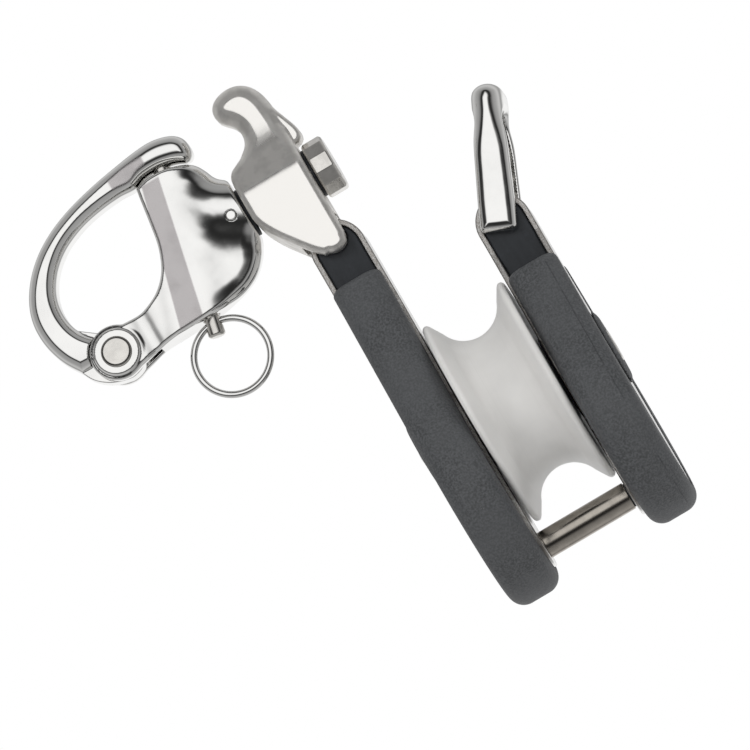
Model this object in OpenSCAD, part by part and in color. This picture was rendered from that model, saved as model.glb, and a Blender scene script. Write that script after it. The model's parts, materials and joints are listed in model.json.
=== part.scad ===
// Snatch block with a swivelling snap shackle on its hinged head.
// Shown opened for loading the rope: head swung out to the left, locking bail swung out to the right.
// Millimetres, +Z up the block, +X along the sheave axle, origin at the sheave centre.

/* [Node] */
// Which sub-part to draw

/* [Sheave] */
// Outside diameter of the sheave
sheave_od = 55.4; // [40:0.2:80]
// Width over the sheave lips
sheave_w = 23.2; // [14:0.2:30]
// Radius of the rope groove, for rope up to twice this across
groove_r = 8.3; // [5:0.1:10]
// Depth from the lip to the groove bottom
groove_deep = 9.0; // [5:0.1:12]
// Axle diameter
axle_d = 8.0; // [6:0.1:12]
// Outside diameter of the plain bearing
bush_d = 14.0; // [10:0.1:20]
// Play of the bearing on the axle, on the radius
bush_play = 0.05; // [0.01:0.01:0.1]

/* [Cheeks] */
// Middle of each cheek, out from the sheave centre
cheek_x = 19.2; // [14:0.1:26]
// Half width over the strap loop
loop_half = 7.0; // [5:0.1:10]
// Strap thickness
strap_t = 1.5; // [1:0.1:3]
// Strap width at the neck
neck_w = 12.4; // [8:0.1:18]
// Outside face of the covers, out from the sheave centre
cover_x = 26.95; // [24:0.05:34]
// Top edge of the left cover
cover_top_l = 45.8; // [35:0.1:60]
// Top edge of the right cover
cover_top_r = 26.1; // [15:0.1:40]
// Half width of the covers, at the widest
cover_r = 29.5; // [24:0.1:40]
// Height of the middle of the round lower end
cover_mid = -15.0; // [-30:0.1:0]
// Rounding of the cover rim
rim_r = 4.2; // [1:0.1:6]
// Height of the spacer below the sheave
spacer_z = -34.2; // [-60:0.1:-25]
// Spacer diameter
spacer_d = 7.2; // [5:0.1:12]

/* [Pivots] */
// Height of the head pivot on the left cheek
head_z = 57.8; // [50:0.1:70]
// Height of the bail pivot on the right cheek
bail_z = 42.3; // [35:0.1:60]
// Sleeve diameter inside each strap loop
sleeve_d = 6.8; // [5:0.1:9]
// Pivot rivet diameter
pivot_d = 3.8; // [2:0.1:6]
// Play of the moving ears on the rivet, on the radius
pivot_play = 0.05; // [0.01:0.01:0.1]

/* [Head and bail] */
// Width over the head
head_w = 19.5; // [16:0.1:30]
// Width of the horn
horn_w = 10.0; // [6:0.1:13]
// Width of the fork slot and between the bail arms
fork_gap = 13.0; // [10:0.1:20]
// Width over the bail arms
bail_w = 19.0; // [16:0.1:30]
// Pivot to bow centre on the bail
bail_len = 30.2; // [20:0.1:50]
// Bail bow diameter
bow_d = 8.0; // [4:0.1:10]
// Arm width at the pivot end
arm_w = 9.3; // [6:0.1:14]
// Lean of the open bail from upright
bail_lean = 24.2; // [0:0.1:60]
// Radius of the seat in the horn
seat_r = 5.2; // [4:0.1:8]

/* [Swivel] */
// Height of the swivel axis while the head is open
swivel_z = 75.8; // [70:0.1:80]
// Swivel bolt shank diameter
shank_d = 7.0; // [5:0.1:9]
// Twelve-sided bolt head, over the corners
knob_d = 15.0; // [10:0.1:15.2]
// Thickness of the bolt head
knob_t = 5.6; // [3:0.1:8]
// Thickness of each swivel washer
swivel_washer_t = 0.75; // [0.4:0.05:1.5]

/* [Snap shackle] */
// Thickness of the shackle body at the swivel
body_w = 16.0; // [12:0.1:20]
// Thickness over the hinge ears
ear_w = 10.4; // [8:0.1:14]
// Thickness of the gate
gate_w = 9.6; // [6:0.1:10]
// Thickness of the gate tongue between the ears
tongue_w = 4.8; // [3:0.1:6]
// Gate pivot, out from the sheave centre
gate_px = -79.5; // [-82:0.1:-77]
// Gate pivot height
gate_pz = 61.3; // [60:0.1:63]
// Gate rivet diameter
gate_pin_d = 4.4; // [3:0.1:6]
// Gate rivet head diameter
gate_head_d = 8.0; // [6:0.1:10]
// Radius of the hinge ears
ear_r = 7.0; // [6:0.1:8]
// Plunger diameter
plunger_d = 4.4; // [3:0.1:5]
// Lean of the plunger from upright
plunger_lean = 11.2; // [0:0.1:20]
// Ring outside diameter
ring_od = 21.0; // [14:0.1:30]
// Ring wire diameter
ring_wire = 1.8; // [1:0.1:3]
// Dowel diameter
dowel_d = 2.5; // [1.5:0.1:4]

/* [Hidden] */
$fn = 72;
axle_r = axle_d / 2;
inner_x = cheek_x - loop_half;
outer_x = cheek_x + loop_half;
crown_r = sleeve_d / 2 + strap_t + 0.03;
flank_r = 8.0;
flank_dx = flank_r - loop_half;
flank_dz = sqrt(pow(flank_r - crown_r, 2) - flank_dx * flank_dx);
rim_x = 13.0;
head_x = -cheek_x;
face_r = -15.75;
face_l = -33.9;
body_x = face_l - swivel_washer_t;
knob_x = face_r + swivel_washer_t;
plunger_x = -56.25;
plunger_z = 52.7;
plunger_len = 45.6;
ring_up = 3.55;
ring_r = (ring_od - ring_wire) / 2;
steel = [0.80, 0.80, 0.79];
dull = [0.62, 0.61, 0.58];
black = [0.13, 0.14, 0.15];
cover_grey = [0.30, 0.31, 0.32];
pale = [0.86, 0.86, 0.85];

// Smooth open curve through the points, ends included
function curve(p, n = 5) = [
  for (i = [0 : len(p) - 2])
    let (a = p[max(i - 1, 0)], b = p[i], c = p[i + 1], d = p[min(i + 2, len(p) - 1)])
    for (k = [0 : n - 1])
      let (t = k / n)
      (2 * b + (c - a) * t + (2 * a - 5 * b + 4 * c - d) * t * t + (3 * b - a - 3 * c + d) * t * t * t) / 2,
  p[len(p) - 1]
];
function arc(cx, cz, r, a0, a1, n = 8) = [
  for (k = [0 : n])
    let (a = a0 + (a1 - a0) * k / n)
    [cx + r * cos(a), cz + r * sin(a)]
];

// Drawing planes: seen from the front, from the side and from above
module front(w, y = 0) {
  translate([0, y, 0]) rotate([90, 0, 0]) linear_extrude(w, center = true) children();
}
module side(x0, x1) {
  translate([x0, 0, 0]) rotate([90, 0, 90]) linear_extrude(x1 - x0) children();
}
module rod_x(x0, x1, r) {
  translate([x0, 0, 0]) rotate([0, 90, 0]) cylinder(r = r, h = x1 - x0);
}
module rod_y(x, z, r, w) {
  translate([x, 0, z]) rotate([90, 0, 0]) cylinder(r = r, h = w, center = true);
}
module turned_x() {
  rotate([0, 90, 0]) rotate_extrude() children();
}

// ---- sheave and axle ----
module sheave() {
  r = sheave_od / 2;
  w = sheave_w / 2;
  gc = r - groove_deep + groove_r;
  groove = arc(gc, 0, groove_r, 110, 250, 18);
  color(pale)
    turned_x()
      polygon(concat(
        [[bush_d / 2, -w], [r - 0.6, -w], [r, -w + 0.6], [r, -w + 1.4], [r - 0.5, -w + 1.9]],
        [for (p = groove) [p[0], -p[1]]],
        [[r - 0.5, w - 1.9], [r, w - 1.4], [r, w - 0.6], [r - 0.6, w], [bush_d / 2, w]]));
}
module sheave_bush() {
  w = sheave_w / 2;
  color(black)
    turned_x()
      polygon([[axle_r + bush_play, -w], [bush_d / 2, -w], [bush_d / 2, w], [axle_r + bush_play, w]]);
}
module thrust_washers() {
  color(black)
    for (s = [0, 1])
      mirror([s, 0, 0])
        difference() {
          rod_x(sheave_w / 2 + 0.1, inner_x, 11.0);
          rod_x(sheave_w / 2 - 1, inner_x + 1, axle_r);
        }
}
module axle_bolt() {
  color(steel) {
    difference() {
      rod_x(-outer_x, outer_x, axle_r);
      rod_x(outer_x - 9, outer_x + 1, 2.5);
    }
    intersection() {
      translate([-outer_x + 5.2, 0, 0]) sphere(r = 7.0);
      rod_x(-outer_x - 2, -outer_x, 4.6);
    }
  }
}
module axle_nut() {
  color(dull) {
    rod_x(outer_x - 8.8, outer_x, 2.5);
    turned_x() polygon([[0, outer_x], [4.5, outer_x], [4.5, outer_x + 1.0], [4.0, outer_x + 1.5], [0, outer_x + 1.5]]);
  }
}

// ---- cheeks: strap bent over its sleeve, moulded core, soft cover ----
// Inside of the strap loop grown outwards by g, seen from the front: two flanks and a tighter crown
module loop_shape(pz, g) {
  crown = crown_r - strap_t + g;
  flank = flank_r - strap_t + g;
  half = loop_half - strap_t + g;
  turn = atan2(flank_dz, flank_dx);
  polygon(concat([[-half, -60], [half, -60]],
    arc(-flank_dx, pz - flank_dz, flank, 0, turn, 12),
    arc(0, pz, crown, turn + 1, 179 - turn, 8),
    arc(flank_dx, pz - flank_dz, flank, 180 - turn, 180, 12)));
}
// Strap leg seen from the side
module leg_shape(top) {
  n = neck_w / 2;
  polygon(concat([[n, top], [n, 34]], arc(0, 0, 15, 32, -12, 8), arc(0, -29, 11, -10, -170, 16),
    arc(0, 0, 15, 192, 148, 8), [[-n, 34], [-n, top]]));
}
module strap(pz) {
  color(steel)
    difference() {
      intersection() {
        front(60) difference() {
          loop_shape(pz, strap_t);
          loop_shape(pz, 0);
        }
        side(-20, 20) leg_shape(80);
      }
      rod_x(-20, 20, axle_r);
      translate([0, 0, spacer_z]) rod_x(-20, 20, 2.5);
    }
}
module core_shape(pz, top) {
  n = neck_w / 2 - 0.2;
  polygon(concat([[n, pz + 1.5], [n, top - 3]], arc(0, cover_mid, cover_r - 5, 34, -214, 40),
    [[-n, top - 3], [-n, pz + 1.5]]));
}
module core(pz, top) {
  color(black)
    difference() {
      intersection() {
        front(60) loop_shape(pz, 0);
        side(-20, 20) core_shape(pz, top);
      }
      rod_y(0, pz, sleeve_d / 2, 40);
      rod_x(-20, 20, axle_r);
      translate([0, 0, spacer_z]) rod_x(-20, 20, 2.5);
    }
}
// Rounded disc used for both ends of a cover; x runs from the sheave side outwards
module cover_disc(r, z) {
  w = cover_x - rim_x;
  translate([rim_x - cheek_x, 0, z])
    turned_x()
      polygon(concat([[0, 0]], [[r - rim_r, 0]], arc(r - rim_r, rim_r, rim_r, -60, 0, 4),
        arc(r - rim_r, w - rim_r, rim_r, 0, 75, 5), [[0, w]]));
}
module cover(pz, top, r2) {
  color(cover_grey)
    difference() {
      hull($fn = 48) {
        cover_disc(cover_r, cover_mid, $fn = 48);
        cover_disc(r2, top, $fn = 48);
      }
      translate([-25, -40, top]) cube([50, 80, 60]);
      side(rim_x - cheek_x - 1, loop_half - strap_t) core_shape(pz, top);
      side(loop_half - strap_t - 0.5, loop_half) leg_shape(80);
      side(rim_x - cheek_x - 1, strap_t - loop_half + 0.5) leg_shape(80);
      translate([rim_x - cheek_x - 1, -neck_w / 2, top - 30]) cube([loop_half + 1 - (rim_x - cheek_x), neck_w, 40]);
      rod_x(0, 20, 4.7);
    }
}
module left_strap() {
  translate([-cheek_x, 0, 0]) mirror([1, 0, 0]) strap(head_z);
}
module left_core() {
  translate([-cheek_x, 0, 0]) mirror([1, 0, 0]) core(head_z, cover_top_l);
}
module left_cover() {
  translate([-cheek_x, 0, 0]) mirror([1, 0, 0]) cover(head_z, cover_top_l, 10.2);
}
module right_strap() {
  translate([cheek_x, 0, 0]) strap(bail_z);
}
module right_core() {
  translate([cheek_x, 0, 0]) core(bail_z, cover_top_r);
}
module right_cover() {
  translate([cheek_x, 0, 0]) cover(bail_z, cover_top_r, 13.5);
}
module spacer_tube() {
  color(dull)
    translate([0, 0, spacer_z])
      difference() {
        rod_x(-inner_x, inner_x - 0.5, spacer_d / 2);
        rod_x(-20, 20, 2.5);
      }
}
module spacer_ring() {
  color(black)
    translate([0, 0, spacer_z])
      difference() {
        rod_x(inner_x - 0.5, inner_x, spacer_d / 2 - 0.4);
        rod_x(-20, 20, 2.5);
      }
}
module spacer_rivet() {
  color(dull) translate([0, 0, spacer_z]) rod_x(-outer_x, outer_x, 2.5);
}

// ---- head: forked casting with the horn ----
module head_outline() {
  polygon(concat(
    [[face_r, head_z], [face_r, 92.0]],
    curve([[-15.8, 94.0], [-16.2, 97.6], [-17.0, 100.4], [-18.5, 102.8], [-20.7, 104.5], [-23.3, 105.1],
      [-26.0, 104.8], [-28.2, 103.7], [-29.4, 102.1], [-29.65, 100.2], [-29.2, 98.5]], 4),
    arc(-31.15, 92.9, seat_r, 52, -52, 12),
    curve([[-29.2, 87.6], [-31.0, 86.6], [-32.6, 85.6], [-33.6, 84.0], [face_l, 81.8]], 4),
    curve([[face_l, 72.0], [-33.1, 69.3], [-31.0, 65.4], [-28.2, 61.4], [-25.0, 57.2], [-22.7, 54.9]], 4),
    arc(head_x, head_z, 3.8, 235, 318, 8)));
}
module head() {
  color(steel)
    difference() {
      union() {
        intersection() {
          front(head_w) head_outline();
          side(-40, 0)
            polygon([[-head_w / 2, 50], [head_w / 2, 50], [head_w / 2, 78.5], [horn_w / 2, 88.7],
              [horn_w / 2, 104.0], [horn_w / 2 - 1.6, 106], [-horn_w / 2 + 1.6, 106], [-horn_w / 2, 104.0],
              [-horn_w / 2, 88.7], [-head_w / 2, 78.5]]);
          translate([0, 0, 40]) linear_extrude(80)
            polygon([[face_l, -7.6], [face_l + 2.2, -head_w / 2], [face_r - 1.2, -head_w / 2], [face_r, -head_w / 2 + 1.2],
              [face_r, head_w / 2 - 1.2], [face_r - 1.2, head_w / 2], [face_l + 2.2, head_w / 2], [face_l, 7.6]]);
        }
        front(7) polygon(concat([[-17, 95.0], [-15.8, 94.8]],
          curve([[-14.7, 91.8], [-13.6, 88.8], [-13.15, 86.8], [-13.4, 85.2], [-14.4, 84.2]], 3), [[-17, 83.9]]));
      }
      front(fork_gap) translate([head_x, head_z]) circle(r = 8.2);
      rod_y(head_x, head_z, pivot_d / 2 + pivot_play, 40);
      translate([0, 0, swivel_z]) rod_x(-40, 0, shank_d / 2 + 0.05);
    }
}
module pivot_sleeve(x, z) {
  color(dull)
    difference() {
      rod_y(x, z, sleeve_d / 2, neck_w);
      rod_y(x, z, pivot_d / 2, 40);
    }
}
module head_sleeve() {
  pivot_sleeve(head_x, head_z);
}
module head_pin() {
  color(steel) rod_y(head_x, head_z, pivot_d / 2, head_w - 0.1);
}

// ---- bail: two flat arms joined by the bow ----
module arm_shape() {
  a = arm_w / 2;
  b = bow_d / 2;
  polygon(concat([[-b, bail_len], [-a, 2.0], [-a, -3.6]], arc(-a + 1.4, -3.6, 1.4, 180, 270, 3),
    arc(a - 1.4, -3.6, 1.4, 270, 360, 3), [[a, 2.0], [b, bail_len]]));
  translate([0, bail_len]) circle(r = b);
}
module bail() {
  gap = (bail_w - fork_gap) / 2;
  color(steel)
    translate([cheek_x, 0, bail_z]) rotate([0, bail_lean, 0])
      difference() {
        union() {
          for (s = [-1, 1])
            front(gap, s * (fork_gap + gap) / 2) arm_shape();
          rod_y(0, bail_len, bow_d / 2, bail_w);
        }
        rod_y(0, 0, pivot_d / 2 + pivot_play, 40);
      }
}
module bail_sleeve() {
  pivot_sleeve(cheek_x, bail_z);
}
module bail_pin() {
  color(steel) rod_y(cheek_x, bail_z, pivot_d / 2, bail_w - 0.1);
}

// ---- swivel ----
module swivel_bolt() {
  color(dull)
    translate([0, 0, swivel_z])
      difference() {
        union() {
          rod_x(body_x - 9.5, knob_x + 1, shank_d / 2);
          intersection() {
            rotate([15, 0, 0]) rod_x(knob_x, knob_x + knob_t, knob_d / 2, $fn = 12);
            turned_x() polygon([[0, knob_x], [knob_d / 2 - 0.5, knob_x], [knob_d / 2 + 0.1, knob_x + 0.6],
              [knob_d / 2 + 0.1, knob_x + knob_t - 0.9], [knob_d / 2 - 0.8, knob_x + knob_t], [0, knob_x + knob_t]]);
          }
        }
        translate([body_x - 3.35, 0, 0]) rotate([90, 0, 0]) cylinder(r = dowel_d / 2, h = 30, center = true);
      }
}
module swivel_washers() {
  color(black)
    translate([0, 0, swivel_z])
      for (x = [face_r + 0.1, body_x])
        difference() {
          rod_x(x, x + swivel_washer_t - 0.1, 6.4);
          rod_x(x - 1, x + 2, shank_d / 2);
        }
}

// ---- snap shackle ----
module body_outline() {
  difference() {
    union() {
      polygon(concat(
        curve([[-55.3, 94.3], [-52.0, 95.2], [-48.0, 95.2], [-44.3, 94.6], [-41.2, 93.6], [-39.4, 92.0],
          [-38.2, 89.8], [-37.3, 87.6], [-36.0, 86.0], [body_x, 84.2]], 4),
        curve([[body_x, 69.6], [-35.2, 67.0], [-36.8, 64.2], [-39.4, 61.4], [-42.6, 59.4], [-46.6, 58.1],
          [-52.0, 57.5], [-60.0, 57.3], [-68.0, 56.9], [-74.0, 55.6], [gate_px, gate_pz - ear_r]], 4),
        [[gate_px, gate_pz]],
        curve([[gate_px, gate_pz + ear_r - 1.2], [-77.0, 67.0], [-73.0, 66.8], [-69.0, 67.1], [-65.4, 68.4],
          [-62.5, 70.4], [-60.2, 73.0], [-58.6, 76.2], [-57.4, 80.0], [-56.6, 85.0], [-55.9, 90.0]], 4)));
      translate([gate_px, gate_pz]) circle(r = ear_r);
    }
  }
}
module on_plunger() {
  translate([plunger_x, 0, plunger_z]) rotate([0, plunger_lean, 0]) children();
}
module shackle_body() {
  b = body_w / 2;
  e = ear_w / 2;
  color(steel)
    difference() {
      union() {
        intersection() {
          front(body_w) body_outline();
          translate([0, 0, 40]) linear_extrude(70)
            polygon([[-95, -e], [-66, -e], [-58, -e - 0.7], [-51, -b + 0.5], [-46, -b], [-39, -b], [body_x, -b + 0.6],
              [body_x, b - 0.6], [-39, b], [-46, b], [-51, b - 0.5], [-58, e + 0.7], [-66, e], [-95, e]]);
          side(-95, -30)
            polygon([[-e + 1.6, 50], [e - 1.6, 50], [e - 0.2, 58.4], [b - 1.2, 62], [b, 67], [b, 84], [b - 1.6, 89],
              [e - 0.6, 93], [e - 1.8, 97], [-e + 1.8, 97], [-e + 0.6, 93], [-b + 1.6, 89], [-b, 84], [-b, 67],
              [-b + 1.2, 62], [-e + 0.2, 58.4]]);
        }
        rod_y(gate_px, gate_pz, 5.8, ear_w + 1.4);
      }
      // slot for the gate tongue
      front(tongue_w + 0.4) translate([gate_px, gate_pz]) circle(r = 10.6);
      rod_y(gate_px, gate_pz, gate_pin_d / 2, 30);
      // plunger bore with the spring chamber
      on_plunger() translate([0, 0, -5]) cylinder(r = plunger_d / 2 + 0.08, h = 60);
      on_plunger() translate([0, 0, 11]) cylinder(r = 3.4, h = 13.4);
      // swivel bolt and its dowel
      translate([0, 0, swivel_z]) rod_x(body_x - 9.5, 0, shank_d / 2);
      rod_y(body_x - 3.35, swivel_z, dowel_d / 2, 30);
    }
}
module dowel_pin() {
  color(dull) rod_y(body_x - 3.35, swivel_z, dowel_d / 2, body_w - 0.2);
}
module gate_outline() {
  difference() {
    polygon(concat(
      curve([[-89.7, 61.8], [-92.3, 66.0], [-94.0, 71.0], [-94.5, 76.0], [-93.9, 80.4], [-92.3, 84.4], [-89.8, 88.2],
        [-86.7, 91.5], [-82.8, 94.5], [-77.8, 97.2], [-71.8, 99.4], [-65.0, 101.1], [-58.0, 102.4], [-52.0, 103.4],
        [-47.2, 103.7], [-43.6, 103.1], [-40.8, 101.9], [-39.1, 100.0], [-38.6, 97.6], [-38.9, 95.4],
        [-40.0, 94.3]], 4),
      curve([[-41.4, 94.3], [-44.3, 95.5], [-48.0, 96.2], [-52.0, 96.1], [-55.6, 95.0], [-60.0, 95.2], [-65.0, 94.8],
        [-70.0, 93.9], [-74.5, 92.4], [-78.4, 90.4], [-81.8, 87.6], [-84.3, 84.4], [-86.0, 80.8], [-86.6, 77.2],
        [-86.2, 73.6], [-84.8, 70.4], [-82.6, 67.8]], 4),
      [[gate_px, gate_pz]]));
    translate([gate_px, gate_pz]) circle(r = ear_r + 0.3);
  }
}
module tongue_outline() {
  polygon(concat(
    curve([[-90.2, 64.6], [-89.7, 61.8], [-88.0, 58.6], [-85.2, 56.2], [-82.2, 54.9], [gate_px, gate_pz - ear_r]], 4),
    arc(gate_px, gate_pz, ear_r, -90, 70, 14),
    [[-81.6, 68.6], [-86.0, 72.0]]));
}
module gate() {
  color(steel)
    difference() {
      union() {
        intersection() {
          front(gate_w) gate_outline();
          side(-100, -30)
            polygon([[-gate_w / 2, 50], [gate_w / 2, 50], [gate_w / 2, 100.5], [gate_w / 2 - 2.2, 105],
              [-gate_w / 2 + 2.2, 105], [-gate_w / 2, 100.5]]);
        }
        front(tongue_w) tongue_outline();
      }
      rod_y(gate_px, gate_pz, gate_pin_d / 2 + 0.05, 30);
      on_plunger() translate([0, 0, 30]) cylinder(r = plunger_d / 2 + 0.12, h = plunger_len + 0.4 - 30);
    }
}
module gate_pin() {
  h = ear_w / 2 + 0.7;
  color(dull) {
    rod_y(gate_px, gate_pz, gate_pin_d / 2, 2 * h);
    for (s = [0, 1])
      mirror([0, s, 0])
        translate([gate_px, -h, gate_pz]) rotate([90, 0, 0]) cylinder(r1 = gate_head_d / 2, r2 = gate_head_d / 2 - 0.7, h = 0.8);
  }
}
module plunger() {
  r = plunger_d / 2;
  color(dull)
    on_plunger()
      difference() {
        union() {
          cylinder(r1 = r - 0.6, r2 = r, h = 0.8);
          translate([0, 0, 0.8]) cylinder(r = r, h = plunger_len - 1.4);
          translate([0, 0, plunger_len - 0.6]) cylinder(r1 = r, r2 = r - 0.6, h = 0.6);
          translate([0, 0, 21.5]) cylinder(r = 3.25, h = 2.6);
        }
        translate([0, 0, ring_up]) rotate([0, 90 - plunger_lean, 0]) cylinder(r = 1.35, h = 20, center = true);
      }
}
module plunger_spring() {
  color(dull)
    on_plunger()
      translate([0, 0, 11.5])
        linear_extrude(9.5, twist = -360 * 6, slices = 96, $fn = 8)
          translate([2.8, 0]) circle(r = 0.32, $fn = 8);
}
module pull_ring() {
  hx = plunger_x + ring_up * sin(plunger_lean);
  hz = plunger_z + ring_up * cos(plunger_lean);
  color(steel)
    translate([hx, 0, hz - ring_r]) rotate([90, 0, 0]) rotate_extrude() translate([ring_r, 0]) circle(r = ring_wire / 2, $fn = 24);
}

sheave();
sheave_bush();
thrust_washers();
axle_bolt();
axle_nut();
left_strap();
left_core();
left_cover();
right_strap();
right_core();
right_cover();
spacer_tube();
spacer_ring();
spacer_rivet();
head();
head_sleeve();
head_pin();
bail();
bail_sleeve();
bail_pin();
swivel_bolt();
swivel_washers();
shackle_body();
dowel_pin();
gate();
gate_pin();
plunger();
plunger_spring();
pull_ring();
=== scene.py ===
"""Snatch block with a swivelling snap shackle on its hinged head, opened for loading the rope.

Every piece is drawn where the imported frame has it. Lengths inside the shape functions are in millimetres.
"""

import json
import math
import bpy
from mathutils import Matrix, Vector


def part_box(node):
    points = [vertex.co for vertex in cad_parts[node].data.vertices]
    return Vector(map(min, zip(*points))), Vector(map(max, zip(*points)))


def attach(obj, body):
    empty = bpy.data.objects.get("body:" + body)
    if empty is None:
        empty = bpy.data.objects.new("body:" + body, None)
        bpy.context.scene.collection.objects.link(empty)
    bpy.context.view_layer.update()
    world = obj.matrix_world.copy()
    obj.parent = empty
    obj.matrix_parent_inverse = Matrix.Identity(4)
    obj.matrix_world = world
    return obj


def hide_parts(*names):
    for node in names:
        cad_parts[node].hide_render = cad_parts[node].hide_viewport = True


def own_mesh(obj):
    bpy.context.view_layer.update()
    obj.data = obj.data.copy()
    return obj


bl_info = {
    "name": "Snatch block with snap shackle",
    "version": (1, 0, 0),
    "blender": (4, 5, 0),
    "location": "View3D > Sidebar > Block",
    "description": "Builds the finished pieces of an opening snatch block and its snap shackle",
    "category": "Add Mesh",
}

import bmesh
import bpy
import numpy as np
import openvdb
from bpy.props import FloatProperty, FloatVectorProperty, IntProperty, PointerProperty
from mathutils import Matrix, Vector

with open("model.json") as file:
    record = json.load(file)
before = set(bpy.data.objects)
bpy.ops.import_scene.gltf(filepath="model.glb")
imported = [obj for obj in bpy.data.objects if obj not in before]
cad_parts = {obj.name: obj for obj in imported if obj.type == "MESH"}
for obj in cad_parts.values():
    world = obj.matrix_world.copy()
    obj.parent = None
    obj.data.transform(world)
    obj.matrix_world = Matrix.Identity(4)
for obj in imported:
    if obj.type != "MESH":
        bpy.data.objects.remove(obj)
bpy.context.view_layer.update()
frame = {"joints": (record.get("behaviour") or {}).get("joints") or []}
JOINTS = {joint["name"]: joint for joint in frame["joints"]}
MM = 0.001


def place(joint):
    """Where a joint turns, seen from the front, in millimetres: (x, z)."""
    at = JOINTS[joint]["pos_m"]
    return at[0] / MM, at[2] / MM


def ends(node, axis):
    """Lowest and highest place of a frame node along one axis, in millimetres."""
    low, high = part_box(node)
    return low[axis] / MM, high[axis] / MM


HEAD_X, HEAD_Z = place("head_hinge")
BAIL_X, BAIL_Z = place("bail_hinge")
GATE_X, GATE_Z = place("gate_hinge")
RING_X, RING_Z = place("ring_swing")
SWIVEL_Z = place("swivel")[1]
CHEEK_X = BAIL_X


# ---- sizes and colours


def length(name, description, value):
    return FloatProperty(name=name, description=description, default=value * MM, min=0.0, precision=5, unit="LENGTH")


def colour(name, description, value):
    return FloatVectorProperty(name=name, description=description, default=value, size=3, min=0.0, max=1.0,
                               subtype="COLOR")


def number(name, description, value, **kind):
    return FloatProperty(name=name, description=description, default=value, **kind)


class BLOCK_PG_sizes(bpy.types.PropertyGroup):
    """Sizes that a maker would change first"""

    casting_step: length("Casting mesh", "Spacing of the mesh on the castings", 0.36)
    cover_step: length("Cover mesh", "Spacing of the mesh on the soft covers", 0.5)
    small_step: length("Small mesh", "Spacing of the mesh on the bolt and the plunger", 0.19)
    strap: length("Strap thickness", "Thickness of the bent straps", 1.5)
    loop_half: length("Strap loop", "Half width over a strap loop", 7.0)
    neck: length("Neck width", "Width of a strap at its neck", 12.4)
    cover_rim: length("Cover rounding", "Rounding of the cover rim", 4.2)
    body_edge: length("Spine edge", "Rounding of the shackle body beside its spine", 1.1)
    gate_edge: length("Gate edge", "Band outside the flat of the gate", 2.5)
    head_bevel: length("Head bevel", "Bevel round the flat faces of the head", 1.8)
    horn_bevel: length("Horn bevel", "Bevel along the horn", 3.8)
    bail_edge: length("Bail edge", "Rounding of the bail arms", 1.35)
    groove: length("Rope groove", "Radius of the rope groove", 8.3)
    wire: length("Ring wire", "Diameter of the pull ring's wire", 1.8)
    turns: IntProperty(name="Spring turns", description="Turns of the latch spring", default=6, min=1, max=20)
    around: IntProperty(name="Turned segments", description="Segments round a turned piece", default=96, min=24,
                        max=256)


class BLOCK_PG_colours(bpy.types.PropertyGroup):
    """Base colours of the finishes"""

    steel: colour("Polished steel", "Mirror polished castings", (0.83, 0.825, 0.81))
    satin: colour("Satin steel", "Ground and satin faces", (0.70, 0.685, 0.66))
    bright: colour("Bright turned steel", "Rivet heads, plunger and the knob", (0.72, 0.70, 0.665))
    turned: colour("Turned steel", "Machined bolts and rivets", (0.44, 0.405, 0.36))
    black: colour("Black plastic", "Moulded cores and washers", (0.019, 0.021, 0.024))
    cover: colour("Soft cover", "Covers of the cheeks", (0.083, 0.086, 0.090))
    pale: colour("Pale plastic", "Sheave", (0.80, 0.79, 0.77))
    floor: colour("Floor", "Studio floor", (0.86, 0.86, 0.86))


class BLOCK_PG_studio(bpy.types.PropertyGroup):
    """Camera and light"""

    distance: number("Camera distance", "From the middle of the view", 3.0, unit="LENGTH")
    view_width: number("View width", "Width seen at that distance", 0.1850, unit="LENGTH")
    roll: number("Camera roll", "Turn of the camera about its line of sight", math.radians(31.0), subtype="ANGLE")
    key: number("Key light", "Power of the soft light", 5.0, unit="POWER")
    rim: number("Rim light", "Power of the soft light from the other side", 3.0, unit="POWER")


def size(name):
    """One of the lengths, in millimetres."""
    return getattr(bpy.context.scene.block_sizes, name) / MM


# ---- shapes as distances


def curve(points, steps=10):
    """Smooth open line through the points, ends included."""
    padded = [points[0], *points, points[-1]]
    line = []
    for a, b, c, d in zip(padded, padded[1:], padded[2:], padded[3:]):
        for k in range(steps):
            t = k / steps
            line.append(tuple(
                (2 * q + (r - p) * t + (2 * p - 5 * q + 4 * r - s) * t ** 2 + (3 * q - p - 3 * r + s) * t ** 3) / 2
                for p, q, r, s in zip(a, b, c, d)))
    return [*line, tuple(points[-1])]


def arc(u, v, radius, start, end, steps=16):
    """Points of an arc, with its angles in degrees."""
    angles = [math.radians(start + (end - start) * k / steps) for k in range(steps + 1)]
    return [(u + radius * math.cos(a), v + radius * math.sin(a)) for a in angles]


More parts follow.
